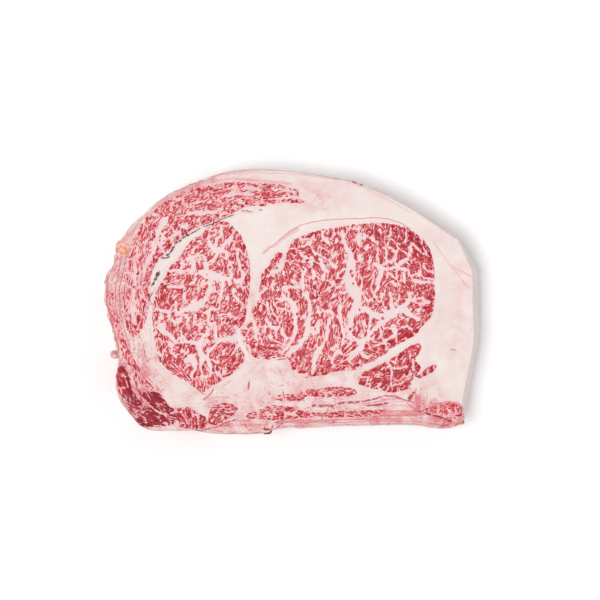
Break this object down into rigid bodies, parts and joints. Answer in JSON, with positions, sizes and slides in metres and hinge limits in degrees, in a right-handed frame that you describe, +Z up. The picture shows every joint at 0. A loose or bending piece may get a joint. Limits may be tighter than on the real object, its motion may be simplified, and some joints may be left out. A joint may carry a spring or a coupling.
{
  "type": "raw beef rib roast",
  "caption": "Thick block of raw, richly marbled beef rib roast lying on a cut face, with the muscles, seams and creamy fat cap on its upper cut face.",
  "frame": {"origin": "middle of the bounding box on the surface that the roast lies on, in the plane of its flat base", "axes": "+X to the right across the cut face, towards the thick fat cap; +Y across the cut face, towards the curved fat side; +Z up out of the upper cut face"},
  "size_m": [0.2417, 0.171, 0.0498],
  "materials": {
    "beef": "moist raw beef: bright red lean with fine pale marbling, and creamy white fat"
  },
  "bodies": {
    "root": {"rib_roast": "beef"}
  },
  "joints": []
}
